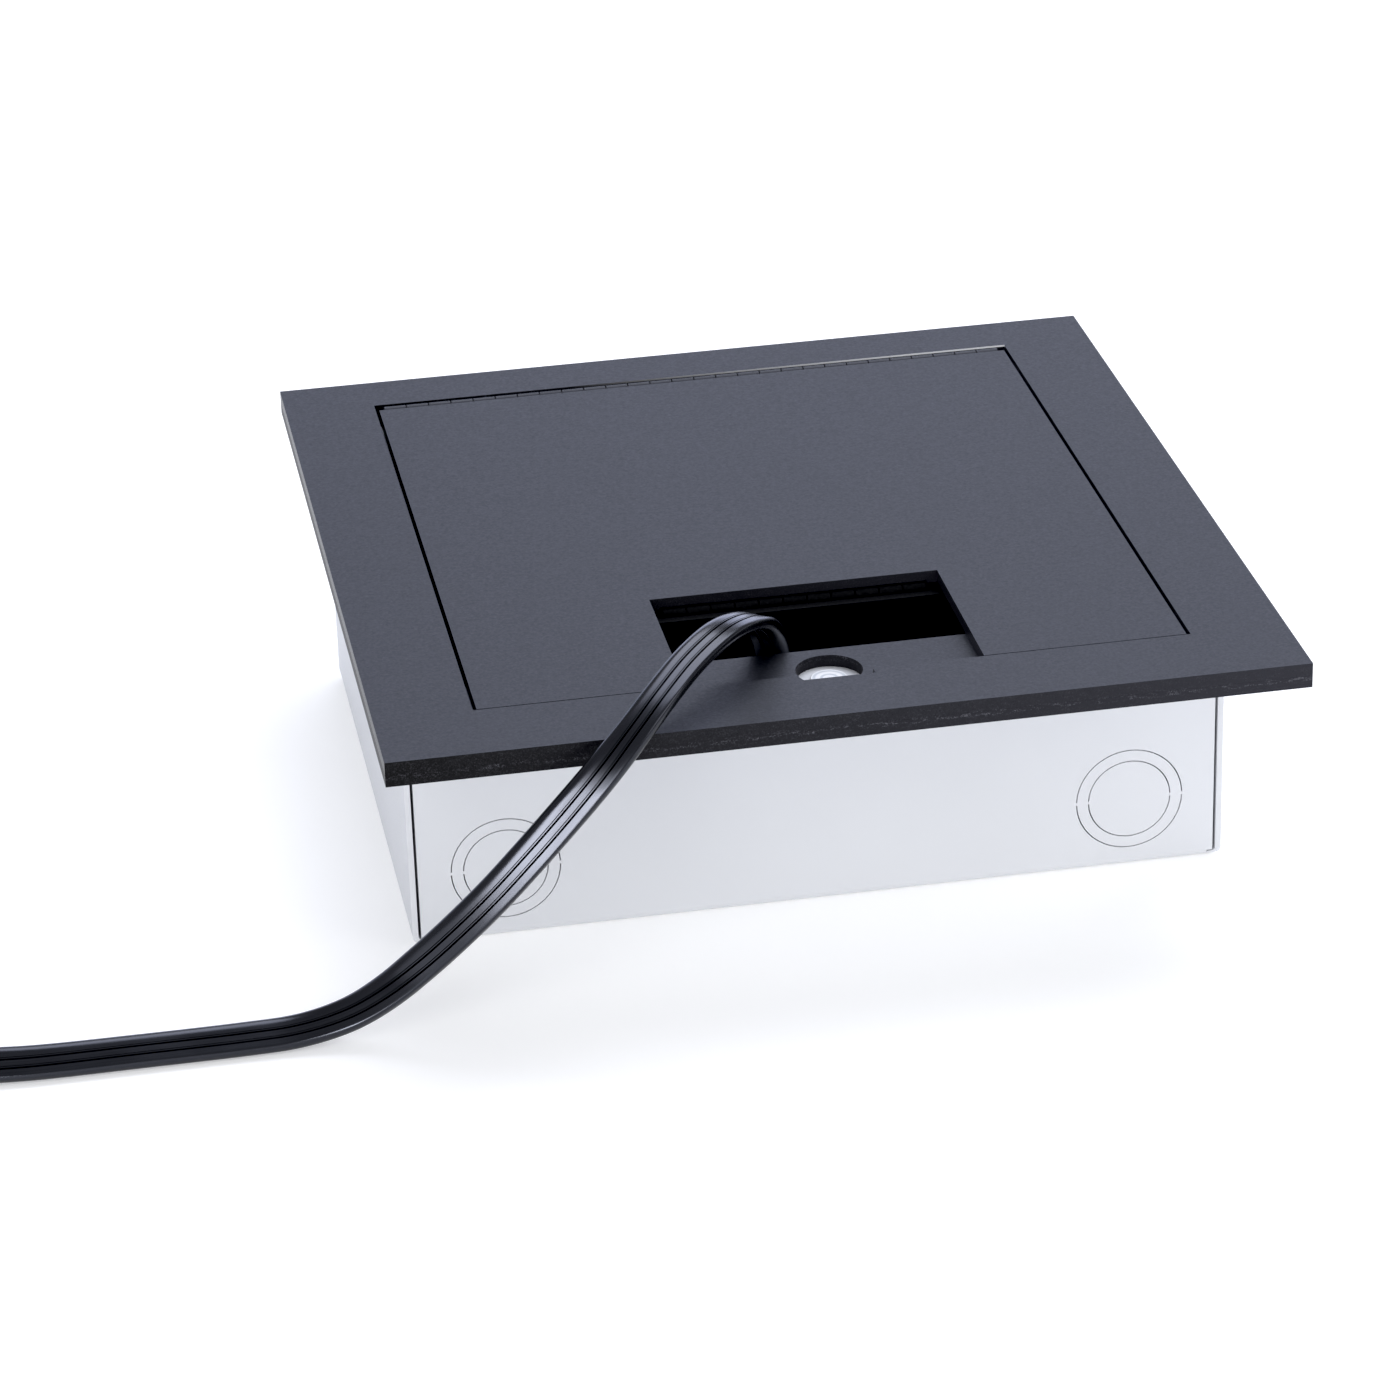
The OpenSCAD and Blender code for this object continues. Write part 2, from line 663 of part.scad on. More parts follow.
// Rounded bar of w by h, corner radius r, from y0 to y1 along Y
module bar(x, z, w, h, r, y0, y1) {
    translate([x, y0, z]) rotate([-90, 0, 0]) linear_extrude(y1 - y0) {
        square([w - 2*r, h], center = true);
        square([w, h - 2*r], center = true);
        for (i = [-1, 1], j = [-1, 1]) translate([i*(w/2 - r), j*(h/2 - r)]) circle(r);
    }
}

// Ribbed strain relief of w by h along Y, with ribs that stand out by grow across and rise in height
module strain_relief(x, z, w, h, y0, y1, grow, rise) {
    bar(x, z, w, h, 1.6, y0, y1);
    pitch = (y1 - y0)/relief_ribs;
    for (i = [0:relief_ribs - 1]) {
        k = (i + 1)/relief_ribs;
        bar(x, z, w + grow*k, h + rise*k, 1.6, y0 + (i + 0.45)*pitch, y0 + (i + 1)*pitch);
    }
}

module plug_body() color(cord_black) {
    back_y = face_y - plug_l;
    bar(outlet_x, outlet_z, plug_w, plug_h, 5, back_y + 12, face_y);
    bar(outlet_x, outlet_z, cord_w + 10, cord_t + 14, 4, back_y + 6, back_y + 13);
    bar(outlet_x, outlet_z, cord_w + 6, cord_t + 8, 3, back_y, back_y + 7);
    strain_relief(outlet_x, outlet_z, cord_w + 1.6, cord_t + 2, cord_start_y, back_y + 1, 3, 3);
}

module plug_blades() color("#c9b26a") {
    for (s = [-1, 1])
        translate([outlet_x + s*blade_pitch/2 - blade_t/2, face_y, slot_z - blade_h/2])
            cube([blade_t, blade_l, blade_h]);
    translate([outlet_x, face_y, earth_z]) rotate([-90, 0, 0]) cylinder(d = earth_d, h = blade_l + 2);
}

// Cord

function unit(v) = v/norm(v);

// Smooth curve through four neighbouring rows, t from 0 to 1 between b and c
function smooth(a, b, c, d, t) = 0.5*(2*b + (c - a)*t + (2*a - 5*b + 4*c - d)*t*t
    + (3*b - a - 3*c + d)*t*t*t);

function route_at(p, i, t, k) = let (n = len(p) - 1)
    smooth(p[max(i - 1, 0)][k], p[i][k], p[min(i + 1, n)][k], p[min(i + 2, n)][k], t);

function fine_route(p, m) = [
    for (i = [0:len(p) - 2], j = [0:m - 1]) [route_at(p, i, j/m, 0), route_at(p, i, j/m, 1)],
    p[len(p) - 1]
];

// One ring of the cord's outline: across runs along the width, the normal is square to it and to the path
function ring(p, i, outline) = let (
    n = len(p) - 1,
    t = unit(p[min(i + 1, n)][0] - p[max(i - 1, 0)][0]),
    nrm = unit(cross(t, p[i][1])),
    wid = cross(nrm, t)
) [for (q = outline) p[i][0] + q[0]*wid + q[1]*nrm];

// Tube through the rings of a path; caps lists the convex faces that close an end
module sweep(p, outline, caps) {
    m = len(outline);
    n = len(p);
    pts = [for (i = [0:n - 1]) each ring(p, i, outline)];
    sides = [for (i = [0:n - 2], j = [0:m - 1]) let (k = (j + 1)%m)
        each [[i*m + j, i*m + k, (i + 1)*m + k], [i*m + j, (i + 1)*m + k, (i + 1)*m + j]]];
    head = [for (c = caps) [for (j = [len(c) - 1:-1:0]) c[j]]];
    tail = [for (c = caps) [for (j = c) (n - 1)*m + j]];
    polyhedron(points = pts, faces = concat(sides, head, tail), convexity = 10);
}

// Three cores side by side, with a groove between neighbours
lobe = cord_w/3;
lead_outline = [
    [-cord_w/2, 0], [-lobe, cord_t/2], [-lobe/2, cord_t/2 - cord_groove], [0, cord_t/2],
    [lobe/2, cord_t/2 - cord_groove], [lobe, cord_t/2], [cord_w/2, 0], [lobe, -cord_t/2],
    [lobe/2, cord_groove - cord_t/2], [0, -cord_t/2], [-lobe/2, cord_groove - cord_t/2], [-lobe, -cord_t/2]
];
coil_outline = [
    [-cord_w/2, 0], [-lobe, cord_t/2], [lobe, cord_t/2], [cord_w/2, 0], [lobe, -cord_t/2], [-lobe, -cord_t/2]
];

lead_caps = [[0, 1, 2, 10, 11], [2, 3, 4, 8, 9, 10], [4, 5, 6, 7, 8]];
lead_path = fine_route(cord_route, 2);

module cord_lead() color(cord_black) sweep(lead_path, lead_outline, lead_caps);

// Coil: the cord stands on edge, winds inwards at a steady rate, then bends to the connector
lead_end = cord_route[len(cord_route) - 1][0];
coil_c = [lead_end[0] - cord_w, lead_end[1] + coil_r];
coil_z = lead_end[2];
coil_steps = round(24*coil_turns);
coil_in_r = coil_r - coil_pitch*coil_turns;
coil_in_a = -90 - 360*coil_turns;
end_sweep = acos(-coil_end_r/(coil_in_r - coil_end_r));
end_c = coil_c + (coil_in_r - coil_end_r)*[cos(coil_in_a), sin(coil_in_a)];
end_a = coil_in_a - end_sweep;
end_dir = [sin(end_a), -cos(end_a)];
end_p = end_c + coil_end_r*[cos(end_a), sin(end_a)];
conn_p = end_p + cord_w*end_dir;
up = [0, 0, -1];

coil_path = [
    [lead_end, up],
    for (i = [0:coil_steps]) let (a = 360*i/24, r = coil_r - coil_pitch*a/360)
        [[coil_c[0] + r*cos(-90 - a), coil_c[1] + r*sin(-90 - a), coil_z], up],
    for (i = [1:12]) let (a = coil_in_a - end_sweep*i/12)
        [[end_c[0] + coil_end_r*cos(a), end_c[1] + coil_end_r*sin(a), coil_z], up],
    [[conn_p[0], conn_p[1], coil_z], up]
];

function path_length(p) = norm_sum([for (i = [1:len(p) - 1]) norm(p[i][0] - p[i - 1][0])]);
function norm_sum(v, i = 0) = i < len(v) ? v[i] + norm_sum(v, i + 1) : 0;

// Least gap of the coil to itself, between points at least half a turn apart
coil_gap = min([for (i = [0:len(coil_path) - 14], j = [i + 13:len(coil_path) - 1])
    norm(coil_path[i][0] - coil_path[j][0])])*cos(180/24) - cord_t;
echo(coil_gap = coil_gap);
echo(lead_length = path_length(lead_path), coil_length = path_length(coil_path));

module cord_coil() color(cord_black) sweep(coil_path, coil_outline, [[0, 1, 2, 3, 4, 5]]);

// Connector in the middle of the coil; its long axis is drawn along +Y from the end of the cord
module cord_connector() color(cord_black)
    translate([conn_p[0], conn_p[1], 0]) rotate([0, 0, atan2(end_dir[1], end_dir[0]) - 90]) difference() {
        union() {
            strain_relief(0, coil_z, cord_t + 2, cord_w + 1.6, 0, conn_relief_l, 3, 0);
            bar(0, conn_h/2, conn_w - 6, conn_h - 2, 3, conn_relief_l - 1, conn_relief_l + 6);
            bar(0, conn_h/2, conn_w, conn_h, 3, conn_relief_l + 5, conn_relief_l + conn_l);
        }
        for (x = [-4.4, 0, 4.4])
            translate([x, conn_relief_l + conn_l - 8, conn_h/2 + (x == 0 ? 2.6 : -1.8)])
                rotate([-90, 0, 0]) cylinder(d = 2.8, h = 10);
    }

// Tie round the turns at the far side of the coil; the turns fall away inwards beside its middle
tie_a = 180;
tie_turn = (270 - tie_a)/360;
tie_r1 = coil_r - coil_pitch*tie_turn + cord_t/2 + tie_gap;
tie_fall = tie_w/2*tan(180/24);
tie_r0 = coil_r - coil_pitch*(tie_turn + floor(coil_turns - tie_turn)) - cord_t/2 - tie_gap - tie_fall;

module cord_tie() color("#3a3a3e") translate([coil_c[0], coil_c[1], 0]) rotate([0, 0, tie_a]) {
    lo = coil_z - cord_w/2 - tie_gap - tie_t;
    hi = coil_z + cord_w/2 + tie_gap + tie_t;
    difference() {
        block([tie_r0 - tie_t, -tie_w/2, lo], [tie_r1 + tie_t, tie_w/2, hi]);
        block([tie_r0, -tie_w, lo + tie_t], [tie_r1, tie_w, hi - tie_t]);
    }
}

bezel_plate();
ledge_plate();
plate_screws();
box_shell();
flange_screws();
catch_disc();
frame_leaf();
frame_leaf_rivets();
lid_hinge_pin();
lid_plate();
lid_leaf();
lid_leaf_rivets();
notch_leaf();
notch_leaf_rivets();
flap_hinge_pin();
flap_plate();
flap_leaf();
flap_leaf_rivets();
device_panel();
panel_screws();
outlet_right();
outlet_left();
blank_plate();
blank_screws();
ground_screw();
plug_body();
plug_blades();
cord_lead();
cord_coil();
cord_connector();
cord_tie();
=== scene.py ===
import json
import math
import bmesh
import bpy
import numpy as np
from mathutils import Matrix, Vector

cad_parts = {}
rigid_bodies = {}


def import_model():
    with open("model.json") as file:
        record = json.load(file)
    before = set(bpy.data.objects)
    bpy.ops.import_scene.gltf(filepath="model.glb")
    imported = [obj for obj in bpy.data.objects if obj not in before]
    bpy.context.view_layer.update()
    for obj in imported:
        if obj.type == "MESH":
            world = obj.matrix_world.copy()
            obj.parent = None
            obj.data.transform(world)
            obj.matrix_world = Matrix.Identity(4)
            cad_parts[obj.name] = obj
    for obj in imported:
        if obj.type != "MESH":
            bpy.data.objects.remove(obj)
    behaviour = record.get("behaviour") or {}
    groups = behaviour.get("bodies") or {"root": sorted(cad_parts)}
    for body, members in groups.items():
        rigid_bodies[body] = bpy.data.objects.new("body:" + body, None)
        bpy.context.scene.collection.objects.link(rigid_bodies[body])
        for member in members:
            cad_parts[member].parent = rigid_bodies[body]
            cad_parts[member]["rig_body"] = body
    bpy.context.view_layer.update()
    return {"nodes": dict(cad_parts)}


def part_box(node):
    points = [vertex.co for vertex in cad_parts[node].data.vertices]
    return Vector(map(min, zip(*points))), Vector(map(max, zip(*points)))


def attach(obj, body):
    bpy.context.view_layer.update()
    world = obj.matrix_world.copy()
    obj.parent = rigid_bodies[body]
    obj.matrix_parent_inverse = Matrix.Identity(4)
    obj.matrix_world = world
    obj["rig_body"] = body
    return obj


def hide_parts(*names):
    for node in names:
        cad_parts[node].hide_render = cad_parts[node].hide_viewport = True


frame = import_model()
nodes = frame["nodes"]
scene = bpy.context.scene
print("frame loaded:", len(nodes), "nodes")

# where the photograph was taken from, in metres
photoCamera = {
    "lens": 125.04, "sensor": 36.0, "clip": (0.01, 40.0),
    "place": (-0.21668, -1.16378, 0.60901),
    "right": (0.98298916, -0.18156724, -0.02767019),
    "up": (0.1049331, 0.43155733, 0.89596167),
    "look": (0.15073601, 0.88362413, -0.44326859),
}


def setCamera(spot):
    data = bpy.data.cameras.new("photoCamera")
    data.lens, data.sensor_width = spot["lens"], spot["sensor"]
    data.clip_start, data.clip_end = spot["clip"]
    cam = bpy.data.objects.new("photoCamera", data)
    scene.collection.objects.link(cam)
    axes = np.eye(4)
    axes[:3, 0], axes[:3, 1], axes[:3, 2] = spot["right"], spot["up"], -np.array(spot["look"])
    axes[:3, 3] = spot["place"]
    cam.matrix_world = Matrix(axes.tolist())
    scene.camera = cam


setCamera(photoCamera)
print("camera set")


def gridFaces(rows, cols, wrap):
    # quads between neighbouring rows and columns; wrap joins the last column to the first
    i, j = np.meshgrid(np.arange(rows - 1), np.arange(cols if wrap else cols - 1), indexing="ij")
    k = (j + 1) % cols
    return np.stack([i * cols + j, i * cols + k, (i + 1) * cols + k, (i + 1) * cols + j], -1).reshape(-1, 4)


def gridPiece(name, grid, wrap=True, caps=False, uv=None, flip=False, sharp=50):
    rows, cols = grid.shape[:2]
    faces = gridFaces(rows, cols, wrap)
    if flip:
        faces = faces[:, ::-1]
    faceList = faces.tolist()
    if caps:
        first, last = list(range(cols)), list(range((rows - 1) * cols, rows * cols))
        faceList += [first[::-1], last]
    mesh = bpy.data.meshes.new(name)
    mesh.from_pydata(grid.reshape(-1, 3).tolist(), [], faceList)
    if uv is not None:   # u along the rows, v round the columns, in metres
        layer = mesh.uv_layers.new(name="along")
        corner = np.zeros(len(mesh.loops), np.int32)
        mesh.loops.foreach_get("vertex_index", corner)
        layer.data.foreach_set("uv", uv.reshape(-1, 2)[corner].astype(np.float32).ravel())
    mesh.shade_smooth()
    mesh.set_sharp_from_angle(angle=math.radians(sharp))
    piece = bpy.data.objects.new(name, mesh)
    scene.collection.objects.link(piece)
    return piece


class Coat:
    # a material with one shader; its short methods keep the node lines readable
    def __init__(self, name, **sockets):
        self.mat = bpy.data.materials.new(name)
        self.mat.use_nodes = True
        self.tree = self.mat.node_tree
        self.shader = self.tree.nodes["Principled BSDF"]
        for socket, value in sockets.items():
            self.shader.inputs[socket.replace("_", " ")].default_value = value
        self.spot = self.add("ShaderNodeTexCoord").outputs["Object"]

    def add(self, kind, **values):
        node = self.tree.nodes.new(kind)
        for name, value in values.items():
            if hasattr(node, name):
                setattr(node, name, value)
            else:
                node.inputs[name.replace("_", " ")].default_value = value
        return node

    def link(self, a, b):
        self.tree.links.new(a, b)

    def stretched(self, scale, source=None):
        m = self.add("ShaderNodeMapping")
        m.inputs["Scale"].default_value = scale
        self.link(source or self.spot, m.inputs["Vector"])
        return m.outputs["Vector"]

    def noise(self, scale, detail=2.0, rough=0.5, vector=None):
        n = self.add("ShaderNodeTexNoise", Scale=scale, Detail=detail, Roughness=rough)
        self.link(vector or self.spot, n.inputs["Vector"])
        return n.outputs["Fac"]

    def ramp(self, fac, stops):
        r = self.add("ShaderNodeValToRGB")
        band = r.color_ramp
        band.elements[0].position, band.elements[0].color = stops[0][0], (*stops[0][1], 1)
        band.elements[1].position, band.elements[1].color = stops[-1][0], (*stops[-1][1], 1)
        for at, tone in stops[1:-1]:
            band.elements.new(at).color = (*tone, 1)
        self.link(fac, r.inputs["Fac"])
        return r.outputs["Color"]

    def greys(self, fac, tint, *stops):
        # ramp of tinted greys, each stop a place and a level
        return self.ramp(fac, [(at, tuple(level * t for t in tint)) for at, level in stops])

    def spread(self, fac, low, high, fromLow=0.3, fromHigh=0.7):
        m = self.add("ShaderNodeMapRange")
        m.inputs["From Min"].default_value, m.inputs["From Max"].default_value = fromLow, fromHigh
        m.inputs["To Min"].default_value, m.inputs["To Max"].default_value = low, high
        self.link(fac, m.inputs["Value"])
        return m.outputs["Result"]

    def bump(self, height, strength, distance):
        b = self.add("ShaderNodeBump")
        b.inputs["Strength"].default_value, b.inputs["Distance"].default_value = strength, distance
        self.link(height, b.inputs["Height"])
        self.link(b.outputs["Normal"], self.shader.inputs["Normal"])

    def maths(self, how, *values):
        m = self.add("ShaderNodeMath", operation=how)
        for socket, value in zip(m.inputs, values):
            if isinstance(value, (int, float)):
                socket.default_value = value
            else:
                self.link(value, socket)
        return m.outputs["Value"]

    def parts(self):
        s = self.add("ShaderNodeSeparateXYZ")
        self.link(self.spot, s.inputs["Vector"])
        return list(s.outputs)

    def mixed(self, fac, a, b):
        m = self.add("ShaderNodeMix", data_type="RGBA")
        self.link(fac, m.inputs[0])
        self.link(a, m.inputs[6])
        m.inputs[7].default_value = b
        return m.outputs[2]

    def colour(self, value):
        self.link(value, self.shader.inputs["Base Color"])

    def rough(self, value):
        self.link(value, self.shader.inputs["Roughness"])


coolTint = (0.92, 0.96, 1.2)
darkTint = (0.97, 0.97, 1.1)
blackTint = (0.82, 0.86, 1.0, 1)   # tint of the dark coats' reflection

plateLow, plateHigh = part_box("bezel_plate")
# marks on the plates: joint, dashes and top are heights, openBack is the opening's back edge; the painted
# highlight on that edge and the painted light growing to the right are spans of x
plateMarks = {
    "joint": float(plateLow[2]), "jointHalf": 0.00035, "dashes": float(plateLow[2]) - 0.0006,
    "top": float(plateHigh[2]) - 0.0005, "openBack": 0.1025, "openHalf": 0.0006,
    "paintedHighlightSpan": (-0.035, 0.07), "paintedHighlightTone": (0.9, 0.91, 0.93, 1),
    "paintedLightRamp": (-0.116, 0.13), "paintedLightTone": (0.028, 0.028, 0.035, 1), "dashTone": (0.095, 0.095, 0.11, 1),
}


def plateFaceCoat():
    # fine-textured black coat: small grain in the gloss, the colour and the surface
    c = Coat("plateFace", Roughness=0.5, Specular_IOR_Level=0.35, Specular_Tint=blackTint)
    fine, gloss = c.noise(1500, 3, 0.6), c.noise(950, 2, 0.6)
    c.colour(c.greys(fine, coolTint, (0.3, 0.005), (0.5, 0.010), (0.72, 0.022)))
    c.rough(c.spread(gloss, 0.42, 0.52))
    c.bump(fine, 0.3, 0.00006)
    return c.mat


def paintedHighlightLine(c, marks, x, y, z):
    # painted highlight along the top of the opening's back edge, behind the lid hinge, growing brighter
    # towards the right
    edge = c.maths("COMPARE", y, marks["openBack"], marks["openHalf"])
    along = c.maths("MULTIPLY", edge, c.spread(x, 0, 1, *marks["paintedHighlightSpan"]))
    return c.maths("MULTIPLY", along, c.maths("GREATER_THAN", z, marks["top"]))


def plateEdgeCoat(marks):
    # sawn edge of the plates: painted light growing towards the right, fine specks, the palest in dashes
    # under the joint
    c = Coat("plateEdge", Roughness=0.3, Specular_IOR_Level=0.12)
    x, y, z = c.parts()
    saw, speck = c.noise(1.0, 3, 0.6, c.stretched((60.0, 60.0, 2600.0))), c.noise(3000, 2, 0.6)
    dash = c.noise(1.0, 3, 0.6, c.stretched((320.0, 320.0, 1300.0)))
    offDash = c.maths("ABSOLUTE", c.maths("SUBTRACT", z, marks["dashes"]))
    wornAndPaintedLight = c.maths("MULTIPLY", c.spread(dash, 0, 1, 0.47, 0.62), c.spread(speck, 0, 1, 0.45, 0.66))
    wornAndPaintedLight = c.maths("MULTIPLY", wornAndPaintedLight, c.spread(offDash, 1.0, 0.12, 0.0003, 0.0009))
    # painted light: the dashes grow brighter towards the right
    wornAndPaintedLight = c.maths("MULTIPLY", wornAndPaintedLight, c.spread(x, 0.35, 1, marks["paintedLightRamp"][0], 0.0))
    dark = c.greys(speck, darkTint, (0.35, 0.001), (0.55, 0.005), (0.7, 0.022))
    # painted light: the edge turns lighter towards the right
    paintedLightRamp = c.mixed(c.spread(x, 0, 1, *marks["paintedLightRamp"]), dark, marks["paintedLightTone"])
    pale = c.mixed(wornAndPaintedLight, paintedLightRamp, marks["dashTone"])
    # painted highlight on the opening's back edge, brighter towards the right
    c.colour(c.mixed(paintedHighlightLine(c, marks, x, y, z), pale, marks["paintedHighlightTone"]))
    lower = c.maths("LESS_THAN", z, marks["joint"])   # the lower plate is duller
    c.rough(c.maths("MULTIPLY_ADD", lower, 0.12, c.spread(speck, 0.27, 0.37)))
    c.bump(c.maths("ADD", saw, speck), 0.25, 0.0001)
    return c.mat


def plateRimCoat(marks):
    # broken edges of the plates, with dark and pale specks; the joint between the two plates is black
    c = Coat("plateRim", Roughness=0.5, Specular_IOR_Level=0.33, Specular_Tint=blackTint)
    x, y, z = c.parts()
    speck = c.noise(1400, 3, 0.7)
    dark = c.greys(speck, coolTint, (0.35, 0.004), (0.6, 0.012), (0.75, 0.05))
    joint = c.maths("COMPARE", z, marks["joint"], marks["jointHalf"])
    shut = c.mixed(joint, dark, (0.0, 0.0, 0.0, 1))
    # painted highlight on the opening's back edge, brighter towards the right
    c.colour(c.mixed(paintedHighlightLine(c, marks, x, y, z), shut, marks["paintedHighlightTone"]))
    c.rough(c.maths("MULTIPLY_ADD", joint, 0.4, c.spread(speck, 0.4, 0.6)))
    return c.mat


def boxCoat():
    # pale satin powder coat on sheet steel: orange peel, faint cloudiness
    c = Coat("boxCoat", Roughness=0.42)
    peel, cloud, grain = c.noise(700, 2, 0.55), c.noise(18, 2), c.noise(1800, 1)
    c.colour(c.ramp(cloud, [(0.3, (0.65, 0.662, 0.69)), (0.7, (0.67, 0.682, 0.71))]))
    c.rough(c.spread(grain, 0.36, 0.5))
    c.bump(peel, 0.16, 0.00008)
    return c.mat


def hingeCoat():
    # hinge steel under the same black: drawn streaks along the barrel
    c = Coat("hingeBlack", Roughness=0.4, Specular_IOR_Level=0.33, Specular_Tint=blackTint)
    streak = c.noise(60, 3, 0.6, c.stretched((0.6, 14.0, 14.0)))
    c.colour(c.greys(streak, darkTint, (0.35, 0.004), (0.6, 0.008), (0.78, 0.02)))
    c.rough(c.spread(streak, 0.34, 0.48))
    return c.mat


def notchShadeCoat():
    # painted shade: a darker, duller copy of the black coat for the flap and its hinge down in the notch,
    # standing in for the shade there; fine grain, hardly any gloss
    c = Coat("notchShadeBlack", Roughness=0.7, Specular_IOR_Level=0.09)
    grain, gloss = c.noise(1500, 3, 0.6), c.noise(950, 2, 0.6)
    c.colour(c.greys(grain, darkTint, (0.3, 0.003), (0.6, 0.005), (0.75, 0.011)))
    c.rough(c.spread(gloss, 0.6, 0.78))
    c.bump(grain, 0.3, 0.00006)
    return c.mat


def discCoat():
    # pale nickel disc with turned rings round its centre under the finger hole
    c = Coat("discNickel", Roughness=0.35, Metallic=0.2)
    place = c.add("ShaderNodeVectorMath", operation="ADD")
    discLow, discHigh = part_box("catch_disc")
    place.inputs[1].default_value = (0.0, -(discLow[1] + discHigh[1]) / 2, 0.0)
    c.link(c.spot, place.inputs[0])
    rings = c.add("ShaderNodeTexWave", wave_type="RINGS", rings_direction="Z", Scale=160.0)
    c.link(place.outputs["Vector"], rings.inputs["Vector"])
    c.colour(c.ramp(rings.outputs["Fac"], [(0.1, (0.55, 0.58, 0.62)), (0.6, (0.8, 0.81, 0.83))]))
    c.rough(c.spread(c.noise(900, 2), 0.28, 0.45))
    c.bump(rings.outputs["Fac"], 0.3, 0.0001)
    return c.mat


def steelCoat():
    # zinc-plated steel: faint turning marks and bright grain
    c = Coat("zincSteel", Metallic=1.0, Roughness=0.3)
    grain, cloud = c.noise(2600, 2), c.noise(240, 2)
    c.colour(c.ramp(cloud, [(0.3, (0.50, 0.52, 0.55)), (0.7, (0.66, 0.68, 0.71))]))
    c.rough(c.spread(grain, 0.22, 0.42))
    c.bump(grain, 0.12, 0.00003)
    return c.mat


def plasticCoat(name, tone, low, high, scale):
    # moulded plastic: spark-eroded grain
    c = Coat(name, Roughness=0.4)
    grain, cloud = c.noise(scale, 2, 0.6), c.noise(40, 2)
    c.colour(c.greys(cloud, coolTint, (0.3, tone * 0.85), (0.7, tone * 1.15)))
    c.rough(c.spread(grain, low, high))
    c.bump(grain, 0.2, 0.00004)
    return c.mat


def cordCoat():
    # extruded flexible jacket: fine drawn lines along the length, slight wander of gloss
    c = Coat("cordJacket", Roughness=0.22, Specular_IOR_Level=0.5, Specular_Tint=(0.8, 0.84, 1.0, 1))
    along = c.add("ShaderNodeUVMap", uv_map="along").outputs["UV"]
    drawn = c.noise(1.0, 2, 0.5, c.stretched((14.0, 2600.0, 1.0), along))
    cloud = c.noise(1.0, 2, 0.5, c.stretched((60.0, 300.0, 1.0), along))
    c.colour(c.greys(drawn, darkTint, (0.3, 0.002), (0.7, 0.005)))
    c.rough(c.spread(cloud, 0.19, 0.27))
    c.bump(drawn, 0.12, 0.00003)
    return c.mat


def brassCoat():
    # drawn brass of the plug's blades
    c = Coat("bladeBrass", Metallic=1.0, Roughness=0.28)
    grain = c.noise(90, 3, 0.6, c.stretched((20.0, 1.0, 20.0)))
    c.colour(c.ramp(grain, [(0.3, (0.52, 0.38, 0.16)), (0.7, (0.72, 0.56, 0.27))]))
    c.rough(c.spread(grain, 0.2, 0.36))
    return c.mat


def greenCoat():
    # green-dyed plating of the earth screw
    c = Coat("groundGreen", Metallic=0.7, Roughness=0.35)
    grain = c.noise(900, 2)
    c.colour(c.ramp(grain, [(0.3, (0.02, 0.12, 0.045)), (0.7, (0.04, 0.2, 0.08))]))
    c.rough(c.spread(grain, 0.28, 0.45))
    return c.mat


def tieCoat():
    # woven hook-and-loop strip: crossed threads
    c = Coat("tieWeave", Roughness=0.85)
    a = c.add("ShaderNodeTexWave", wave_type="BANDS", bands_direction="Z", Scale=420.0, Distortion=1.5)
    c.link(c.spot, a.inputs["Vector"])
    fuzz = c.noise(1600, 3, 0.7)
    c.colour(c.greys(fuzz, coolTint, (0.3, 0.014), (0.7, 0.04)))
    c.bump(a.outputs["Fac"], 0.5, 0.0002)
    return c.mat


coats = {
    "plateFace": plateFaceCoat(), "plateEdge": plateEdgeCoat(plateMarks),
    "plateRim": plateRimCoat(plateMarks), "box": boxCoat(), "hinge": hingeCoat(), "notchShade": notchShadeCoat(),
    "disc": discCoat(), "steel": steelCoat(), "cord": cordCoat(), "brass": brassCoat(), "green": greenCoat(),
    "tie": tieCoat(),
    "outlet": plasticCoat("outletPlastic", 0.02, 0.36, 0.5, 1900),
    "moulded": plasticCoat("mouldedJacket", 0.011, 0.34, 0.48, 1500),
    "panel": plasticCoat("panelCoat", 0.02, 0.42, 0.56, 1300),
}
print("coats made:", len(coats))


